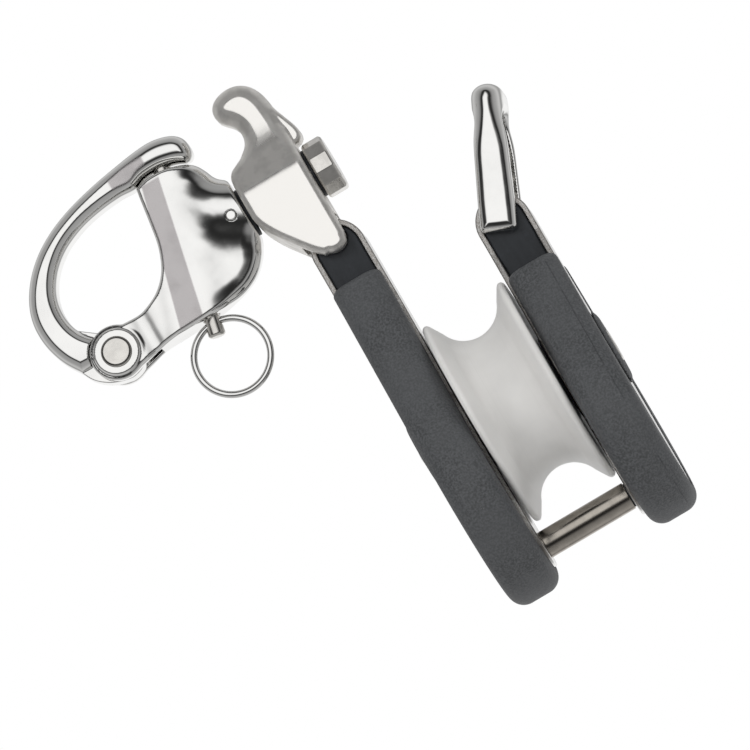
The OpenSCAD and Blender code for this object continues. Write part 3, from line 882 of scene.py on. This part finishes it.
def head_outline():
    """The head from the front: flat right side, horn curling left over its seat, and the ear below."""
    return Outline([
        (FACE_R, HEAD_Z), (FACE_R, 92.0),
        *curve([(-15.8, 94.0), (-16.2, 97.6), (-17.0, 100.4), (-18.5, 102.8), (-20.7, 104.45), (-23.3, 105.06),
                (-26.0, 104.77), (-28.2, 103.7), (-29.4, 102.1), (-29.65, 100.2), (-29.2, 98.5)]),
        *arc(*SEAT, 52, -52, 24),
        *curve([(-29.2, 87.6), (-31.0, 86.6), (-32.6, 85.6), (-33.6, 84.0), (FACE_L, 81.8)]),
        *curve([(FACE_L, 72.0), (-33.1, 69.3), (-31.0, 65.4), (-28.2, 61.4), (-25.0, 57.2), (-22.7, 54.9)]),
        *arc(HEAD_X, HEAD_Z, 3.8, 235, 318)])


def bump_outline():
    """The small rounded stop on the right side of the head."""
    return Outline([(-17.5, 95.6), (-15.9, 94.9), *curve([(-14.7, 91.8), (-13.6, 88.8), (-13.15, 86.8), (-13.4, 85.2),
                                                         (-14.4, 84.2)]), (-17.5, 83.6)])


def build_head():
    outline, stop = head_outline(), bump_outline()
    bevel_low, bevel_high = size("head_bevel"), size("horn_bevel")

    def shape(x, y, z):
        wide = np.abs(y)
        plate = outline(x, z)
        shoulder = (wide - HEAD_HALF) * 0.9066 + (z - 78.5) * 0.4222
        width = joined(both(wide - HEAD_HALF, shoulder, 0.5), wide - HORN_HALF, 2.0)
        up = ease(z, 84.0, 91.0)
        band = bevel_low + (bevel_high - bevel_low) * up
        made = edged(plate, width, 0.0, band, 0.6 - 0.1 * up, 0.9 + 1.2 * up)
        made = joined(made, both(stop(x, z), wide - 3.5, 1.2), 0.5)
        made = cut(made, both(rod(x - HEAD_X, z - HEAD_Z, 8.2), wide - FORK_HALF, 0.3), 0.45)
        made = cut(made, np.maximum(rod(x - HEAD_X, z - HEAD_Z, PIVOT_HOLE_R), wide - HEAD_HALF + 0.35), 0.05)
        return cut(made, rod(y, z - SWIVEL_Z, 3.55), 0.3)

    cast("horned_head", "head", "head_body", "head_steel", shape, size("casting_step"))


def pivot(name, x, z):
    """Sleeve in a strap loop and the rivet through it, whose ends stay just below the faces that cover them."""
    half, end = size("neck") / 2, ends(f"{name}_pin", 1)[1] - 0.37
    lathed(f"{name}_pivot_sleeve", f"{name}_sleeve", "block", "turned_steel", "turned_steel",
           ring_profile(-half, half, PIVOT_R, SLEEVE_R), at=(x, 0, z), along="Y", bore=True)
    lathed(f"{name}_pivot_rivet", f"{name}_pin", "block", "polished_steel", "head_steel",
           pin_profile(-end, end, PIVOT_R, 0.0, 0.1), at=(x, 0, z), along="Y")


class BLOCK_OT_head(bpy.types.Operator):
    """Casts the forked head with its horn, and its pivot"""

    bl_idname = "block.head"
    bl_label = "Head"

    def execute(self, context):
        build_head()
        pivot("head", HEAD_X, HEAD_Z)
        return {"FINISHED"}


# ---- bail


class BLOCK_OT_bail(bpy.types.Operator):
    """Forges the locking bail, and its pivot"""

    bl_idname = "block.bail"
    bl_label = "Bail"

    def execute(self, context):
        long, bow, a = 30.2, 4.0, 4.65  # length to the bow, its radius and half the width of an arm
        lean = math.radians(24.2)
        half = ends("bail", 1)[1]
        edge = size("bail_edge")
        flank = curve([(-bow, long - 2), (-4.35, 14.0), (-a, 2.0)], 6)
        arm = Outline([*arc(0, long, bow, 0, 180, 32), (-bow, long), *flank, (-a, -3.6),
                       *arc(-a + 1.4, -3.6, 1.4, 180, 270, 8), *arc(a - 1.4, -3.6, 1.4, 270, 360, 8),
                       *((-u, v) for u, v in flank[::-1])])

        def shape(x, y, z):
            x, z = x - BAIL_X, z - BAIL_Z
            up = x * math.sin(lean) + z * math.cos(lean)
            across = x * math.cos(lean) - z * math.sin(lean)
            wide = np.abs(y)
            outer = both(wide - half, up - long - bow, 6.0)
            inner = both(wide - FORK_HALF, up - long + bow, 4.5)
            tip = ease(up, 14.0, 27.0)
            made = edged(arm(across, up), outer, 0.0, 2.6 + 1.4 * tip, 0.42, edge + 1.9 * tip)
            made = cut(made, inner, 0.5 + 1.2 * tip)
            return cut(made, np.maximum(rod(across, up, PIVOT_HOLE_R), wide - half + 0.35), 0.05)

        cast("locking_bail", "bail", "bail_body", "polished_steel", shape,
             size("casting_step") * 0.85)
        pivot("bail", BAIL_X, BAIL_Z)
        return {"FINISHED"}


# ---- swivel

BODY_X = -34.65
DOWEL_X, DOWEL_R = BODY_X - 3.35, 1.25


class BLOCK_OT_swivel(bpy.types.Operator):
    """Turns the swivel bolt with its twelve-sided head, and the washers"""

    bl_idname = "block.swivel"
    bl_label = "Swivel"

    def execute(self, context):
        low, high = ends("swivel_bolt", 0)
        foot = high - 5.6
        flat = 7.5 * math.cos(math.pi / 12)

        def shape(x, y, z):
            z = z - SWIVEL_Z
            sides = -1e3
            for turn in (math.radians(30 * k) for k in range(12)):
                sides = np.maximum(sides, y * math.cos(turn) + z * math.sin(turn) - flat)
            knob = bevelled(sides, np.maximum(x - high, foot - x), 0.55, 0.18)
            shank = both(rod(y, z, 3.5), np.maximum(low - x, x - foot - 1), 0.2)
            made = np.minimum(knob, shank)
            return cut(made, rod(x - DOWEL_X, z, DOWEL_R), 0.1)

        cast("swivel_knob_bolt", "swivel_bolt", "shackle", "knob_steel", shape, size("small_step"))
        rings = [ring_profile(x + 0.04, x + 0.61, 3.58, 6.4) for x in (FACE_R + 0.1, BODY_X)]
        lathed("swivel_gap_washers", "swivel_washers", "head_body", "black_plastic", "black_plastic", rings[0],
               at=(0, 0, SWIVEL_Z), bore=True, more=rings[1:])
        return {"FINISHED"}


# ---- snap shackle

LATCH_X, LATCH_Z, LATCH_LEAN = -56.25, 52.7, math.radians(11.2)
SPINE = ((-63.2, -54.4), (-56.2, -49.0))
SPINE_Z = (58.4, 92.4)


def beside_line(x, z, ends_x):
    """How far a point is to the right of a line that runs up the shackle body."""
    rise = (ends_x[1] - ends_x[0]) / (SPINE_Z[1] - SPINE_Z[0])
    return (x - ends_x[0] - (z - SPINE_Z[0]) * rise) / math.sqrt(1 + rise * rise)


def spine_ground(x, y, z):
    """The ground satin face up the spine of the shackle body."""
    left, right = (beside_line(x, z, SPINE[k]) for k in (0, 1))
    return left.rise(0.0, 0.5) * (1.0 - right.rise(-0.4, 0.1)) * abs(y).rise(5.55, 5.95) * z.between(57.5, 94.0, 0.4)


def gate_ground(x, y, z):
    """The ground satin face near the nose of the gate."""
    return x.between(-60.5, -50.2, 0.4) * abs(y).rise(4.45, 4.7)


def body_outline():
    """The shackle body from the front, carried on past the swivel face."""
    return Outline([
        *curve([(-55.3, 94.3), (-52.0, 95.2), (-48.0, 95.2), (-44.3, 94.6), (-41.2, 93.6), (-39.4, 92.0), (-38.2, 89.8),
                (-37.3, 87.6), (-36.0, 86.0), (-33.6, 84.6), (-30.0, 84.2)]),
        *curve([(-30.0, 68.6), (-33.6, 68.6), (-35.2, 67.0), (-36.8, 64.2), (-39.4, 61.4), (-42.6, 59.4), (-46.6, 58.1),
                (-52.0, 57.5), (-60.0, 57.3), (-68.0, 56.9), (-74.0, 55.6), (GATE_X, GATE_Z - 7.0)]),
        (GATE_X, GATE_Z),
        *curve([(GATE_X, GATE_Z + 5.8), (-77.0, 67.0), (-73.0, 66.8), (-69.0, 67.1), (-65.4, 68.4), (-62.5, 70.4),
                (-60.2, 73.0), (-58.6, 76.2), (-57.4, 80.0), (-56.6, 85.0), (-55.9, 90.0), (-55.3, 94.3)])])


def latch_axes(x, z):
    """Distance up the plunger's axis and across from it."""
    x, z = x - LATCH_X, z - LATCH_Z
    return (x * math.sin(LATCH_LEAN) + z * math.cos(LATCH_LEAN), x * math.cos(LATCH_LEAN) - z * math.sin(LATCH_LEAN))


def build_body():
    outline = body_outline()
    spine_edge = size("body_edge")

    def shape(x, y, z):
        wide = np.abs(y)
        left, right = (beside_line(x, z, SPINE[k]) for k in (0, 1))
        flank = outline(x, z)
        swell = ease(right, 0.0, 11.0)
        half = 6.0 + 2.0 * swell - 0.6 * ease(-left, 0.0, 4.0) - 1.0 * np.exp(-((x + 70.4) / 2.6) ** 2)
        across = 0.515 * (x + 38.0) + 0.857 * (z - 78.3)
        half = half - 3.9 * swell * (1 - np.exp(-across * across / 56.0))
        half = half - 0.75 * swell * ease(flank, -4.6, -0.6)
        made = edged(flank, wide, half, 0.9 + 1.3 * swell, 0.6, spine_edge + 0.5 * swell)
        made = both(made, x - BODY_X, 0.9)
        ear = rod(x - GATE_X, z - GATE_Z, 7.0)
        made = joined(made, both(ear, wide - 5.2, 0.8), 0.3)
        made = joined(made, both(ear + 1.2, wide - 5.9, 0.55), 0.5)
        made = cut(made, both(ear - 3.6, wide - 2.6, 0.1), 0.6)
        made = cut(made, rod(x - GATE_X, z - GATE_Z, 2.2), 0.1)
        up, across = latch_axes(x, z)
        made = cut(made, rod(across, y, 2.28), 0.25)
        made = cut(made, np.maximum(rod(across, y, 3.4), np.abs(up - 17.7) - 6.7), 0.1)
        made = cut(made, np.maximum(rod(y, z - SWIVEL_Z, 3.5), BODY_X - 9.5 - x), 0.1)
        return cut(made, rod(x - DOWEL_X, z - SWIVEL_Z, DOWEL_R + 0.09), 0.1)

    cast("shackle_casting", "shackle_body", "shackle", "polished_body", shape,
         size("casting_step"))


def gate_outline():
    return Outline([
        *curve([(-89.7, 61.8), (-92.3, 66.0), (-94.0, 71.0), (-94.5, 76.0), (-93.9, 80.4), (-92.3, 84.4), (-89.8, 88.2),
                (-86.7, 91.5), (-82.8, 94.5), (-77.8, 97.2), (-71.8, 99.4), (-65.0, 101.1), (-58.0, 102.4),
                (-52.0, 103.4), (-47.2, 103.7), (-43.6, 103.1), (-40.8, 101.9), (-39.1, 100.0), (-38.6, 97.6),
                (-38.9, 95.4), (-40.0, 94.3)]),
        *curve([(-41.4, 94.3), (-44.3, 95.5), (-48.0, 96.2), (-52.0, 96.1), (-55.6, 95.0), (-60.0, 95.2), (-65.0, 94.8),
                (-70.0, 93.9), (-74.5, 92.4), (-78.4, 90.4), (-81.8, 87.6), (-84.3, 84.4), (-86.0, 80.8), (-86.6, 77.2),
                (-86.2, 73.6), (-84.8, 70.4), (-82.6, 67.8)]),
        (GATE_X, GATE_Z)])


def tongue_outline():
    return Outline([
        *curve([(-90.2, 64.6), (-89.7, 61.8), (-88.0, 58.6), (-85.2, 56.2), (-82.2, 54.9), (GATE_X, GATE_Z - 7.0)]),
        *arc(GATE_X, GATE_Z, 7.0, -90, 70, 28), (-81.6, 68.6), (-86.0, 72.0)])


def build_gate():
    outline, tongue = gate_outline(), tongue_outline()
    edge = size("gate_edge")

    def shape(x, y, z):
        wide = np.abs(y)
        nose = ease(x, -62.0, -50.0)
        made = edged(outline(x, z), wide, 4.8, edge, 0.8 - 0.6 * nose, 1.2 + 2.3 * nose)
        made = cut(made, rod(x - GATE_X, z - GATE_Z, 7.3), 0.3)
        made = joined(made, both(tongue(x, z), wide - 2.4, 0.25), 0.05)
        made = cut(made, rod(x - GATE_X, z - GATE_Z, 2.25), 0.1)
        up, across = latch_axes(x, z)
        return cut(made, np.maximum(rod(across, y, 2.32), np.abs(up - 38.0) - 8.0), 0.3)

    cast("gate_bow", "gate", "gate_body", "polished_gate", shape, size("casting_step") * 0.9)


class BLOCK_OT_shackle(bpy.types.Operator):
    """Casts the shackle body and its gate, with their rivet and dowel"""

    bl_idname = "block.shackle"
    bl_label = "Snap shackle"

    def execute(self, context):
        build_body()
        build_gate()
        high = ends("gate_pin", 1)[1]
        foot = high - 0.8 - 0.15
        half = [(high, 0.0), (high - 0.04, 3.2), (high - 0.3, 3.75), (high - 0.6, 3.9), (foot, 3.95), (foot, 2.2)]
        profile = [*half, *((-a, b) for a, b in half[::-1])]
        lathed("gate_rivet", "gate_pin", "shackle", "turned_steel", "rivet_steel", profile,
               at=(GATE_X, 0, GATE_Z), along="Y")
        lathed("locking_dowel", "dowel_pin", "shackle", "turned_steel", "polished_steel",
               pin_profile(*ends("dowel_pin", 1), DOWEL_R, 0.0, 0.18), at=(DOWEL_X, 0, SWIVEL_Z), along="Y")
        return {"FINISHED"}


# ---- latch

SPRING_LONG = 9.5


class BLOCK_OT_latch(bpy.types.Operator):
    """Makes the plunger, its spring and the pull ring"""

    bl_idname = "block.latch"
    bl_label = "Latch"

    def execute(self, context):
        def shape(x, y, z):
            up, across = latch_axes(x, z)
            pin = bevelled(rod(across, y, 2.2), np.abs(up - 22.8) - 22.8, 0.5, 0.15)
            collar = both(rod(across, y, 3.25), np.abs(up - 22.8) - 1.3, 0.15)
            made = joined(pin, collar, 0.15)
            return cut(made, rod(y, z - RING_Z, 1.35), 0.2)

        cast("latch_plunger", "plunger", "plunger_body", "rivet_steel", shape, size("small_step"))

        axis = Vector((math.sin(LATCH_LEAN), 0.0, math.cos(LATCH_LEAN)))
        foot = Vector((LATCH_X, 0.0, LATCH_Z)) * MM + axis * 11.5 * MM
        coil = {"Radius": 2.8 * MM, "Wire": 0.32 * MM, "Turns": float(context.scene.block_sizes.turns),
                "Height": SPRING_LONG * MM}
        made = wired("latch_spring", "plunger_spring", "shackle", "turned_steel", "coil", coil,
                     Matrix.Translation(foot) @ Matrix.Rotation(LATCH_LEAN, 4, "Y"))
        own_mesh(made)

        low, high = ends("pull_ring", 2)
        wire = size("wire") / 2
        centre = Vector((RING_X, 0.0, (low + high) / 2)) * MM
        wired("finger_ring", "pull_ring", "ring_body", "polished_steel", "ring",
              {"Radius": ((high - low) / 2 - wire) * MM, "Wire": wire * MM},
              Matrix.Translation(centre) @ Matrix.Rotation(math.radians(90), 4, "X"))
        return {"FINISHED"}


# ---- stage

SIGHT = Vector((-0.045, 1.0, 0.2)).normalized()
FLAT_SEES = Vector((-0.045, -1.0, 0.2)).normalized()
MIDDLE = Vector((-0.0274, 0.0, 0.0242))


def lamp(name, at, power, width, height):
    """A large soft light that isn't itself seen."""
    light = bpy.data.lights.new(name, "AREA")
    light.shape, light.size, light.size_y, light.energy = "RECTANGLE", width, height, power
    made = bpy.data.objects.new(name, light)
    bpy.context.scene.collection.objects.link(made)
    made.location = at
    made.rotation_mode = "QUATERNION"
    made.rotation_quaternion = (MIDDLE - Vector(at)).to_track_quat("-Z", "Y")
    made.visible_camera = made.visible_glossy = False


# Shades of the room, from straight behind the flat faces to where they reflect.
ROOM = [(0.0, 0.95), (0.04, 0.85), (0.10, 0.35), (0.15, 0.30), (0.24, 0.60), (0.34, 0.55), (0.50, 0.38), (0.66, 0.34),
        (0.76, 0.22), (0.82, 0.04), (0.87, 0.015), (0.92, 0.04), (0.945, 0.3), (0.966, 0.95), (1.0, 1.0)]


def studio_world():
    """A room with soft boxes in front and behind and darker bands between them, and white where the camera sees it."""
    world = bpy.data.worlds.new("studio")
    bpy.context.scene.world = world
    paint = Paint(world)
    way = paint.place = paint.node("ShaderNodeTexCoord")["Generated"]
    stretch = Vector((0.66, 1.0, 1.05))
    scaled = paint.node("ShaderNodeVectorMath", {"operation": "MULTIPLY"}, {0: way, 1: tuple(stretch)})[0]
    scaled = paint.node("ShaderNodeVectorMath", {"operation": "NORMALIZE"}, {0: scaled})[0]
    centre = tuple((FLAT_SEES * stretch).normalized())
    product = paint.node("ShaderNodeVectorMath", {"operation": "DOT_PRODUCT"}, {0: scaled, 1: centre})
    towards = Number(paint, product["Value"])
    share = towards * 0.5 + 0.5 + 0.07 * (paint.noise(1.7, 1.0) - 0.5)
    shade = paint.node("ShaderNodeValToRGB", {"stops": ROOM}, {0: share})[0]
    seen = paint.node("ShaderNodeLightPath")["Is Camera Ray"]
    mixed = paint.blend(seen, shade, (1.0, 1.0, 1.0))
    strength = 1.10 - 0.10 * Number(paint, seen)
    background = paint.node("ShaderNodeBackground", None, {"Color": mixed, "Strength": strength})[0]
    paint.node("ShaderNodeOutputWorld", None, {"Surface": background})


class BLOCK_OT_stage(bpy.types.Operator):
    """Lays the floor and sets the camera and the soft lights"""

    bl_idname = "block.stage"
    bl_label = "Stage"

    def execute(self, context):
        studio = context.scene.block_studio
        mesh = bpy.data.meshes.new("floor")
        half, down = 4.0, -0.7
        mesh.from_pydata([(-half, -half, down), (half, -half, down), (half, half, down), (-half, half, down)], [],
                         [(0, 1, 2, 3)])
        floor = put("floor", mesh)
        paint = new_paint("floor_paper")
        grain = paint.noise(0.05, 2.0)
        tone = paint.blend(grain, palette("floor"), shaded("floor", 0.97))
        surface = paint.node("ShaderNodeBsdfPrincipled", None, {
            "Base Color": tone, "Roughness": 0.8 + 0.1 * grain, "Emission Color": tone, "Emission Strength": 0.3})[0]
        paint.node("ShaderNodeOutputMaterial", None, {"Surface": surface})
        mesh.materials.append(paint.owner)
        floor.visible_glossy = False
        studio_world()
        lamp("key", (-0.5, -0.9, 0.75), studio.key, 0.35, 0.35)
        lamp("rim", (1.0, -0.5, 0.5), studio.rim, 0.3, 0.9)
        camera = bpy.data.objects.new("camera", bpy.data.cameras.new("camera"))
        context.scene.collection.objects.link(camera)
        camera.data.clip_start, camera.data.clip_end = 0.05, 20.0
        right = Vector((math.cos(studio.roll), 0.0, -math.sin(studio.roll)))
        back = -SIGHT
        right = (right - right.dot(back) * back).normalized()
        camera.data.sensor_width = 36.0
        camera.data.lens = camera.data.sensor_width * studio.distance / studio.view_width
        camera.rotation_mode = "QUATERNION"
        camera.rotation_quaternion = Matrix((right, back.cross(right), back)).transposed().to_quaternion()
        camera.location = MIDDLE + back * studio.distance
        context.scene.camera = camera
        context.scene.view_settings.view_transform = "Standard"
        return {"FINISHED"}


# ---- panel and registration

STEPS = ("sheave", "cheeks", "head", "bail", "swivel", "shackle", "latch", "stage")


class BLOCK_PT_panel(bpy.types.Panel):
    """Lists the sizes, colours and building steps"""

    bl_idname = "BLOCK_PT_panel"
    bl_label = "Snatch block"
    bl_space_type = "VIEW_3D"
    bl_region_type = "UI"
    bl_category = "Block"

    def draw(self, context):
        for group in (context.scene.block_sizes, context.scene.block_colours, context.scene.block_studio):
            box = self.layout.box()
            for name in group.__annotations__:
                box.prop(group, name)
        for step in STEPS:
            self.layout.operator("block." + step)


CLASSES = (BLOCK_PG_sizes, BLOCK_PG_colours, BLOCK_PG_studio, BLOCK_OT_sheave, BLOCK_OT_cheeks, BLOCK_OT_head,
           BLOCK_OT_bail, BLOCK_OT_swivel, BLOCK_OT_shackle, BLOCK_OT_latch, BLOCK_OT_stage, BLOCK_PT_panel)
GROUPS = {"block_sizes": BLOCK_PG_sizes, "block_colours": BLOCK_PG_colours, "block_studio": BLOCK_PG_studio}


def register():
    for cls in CLASSES:
        bpy.utils.register_class(cls)
    for name, group in GROUPS.items():
        setattr(bpy.types.Scene, name, PointerProperty(type=group))


def unregister():
    for name in GROUPS:
        delattr(bpy.types.Scene, name)
    for cls in reversed(CLASSES):
        bpy.utils.unregister_class(cls)


def main():
    register()
    TREES.update(turned=turned_tree(), ring=wire_tree("Wire ring", False), coil=wire_tree("Wire coil", True))
    for step in STEPS:
        getattr(bpy.ops.block, step)()


if __name__ == "__main__":
    main()
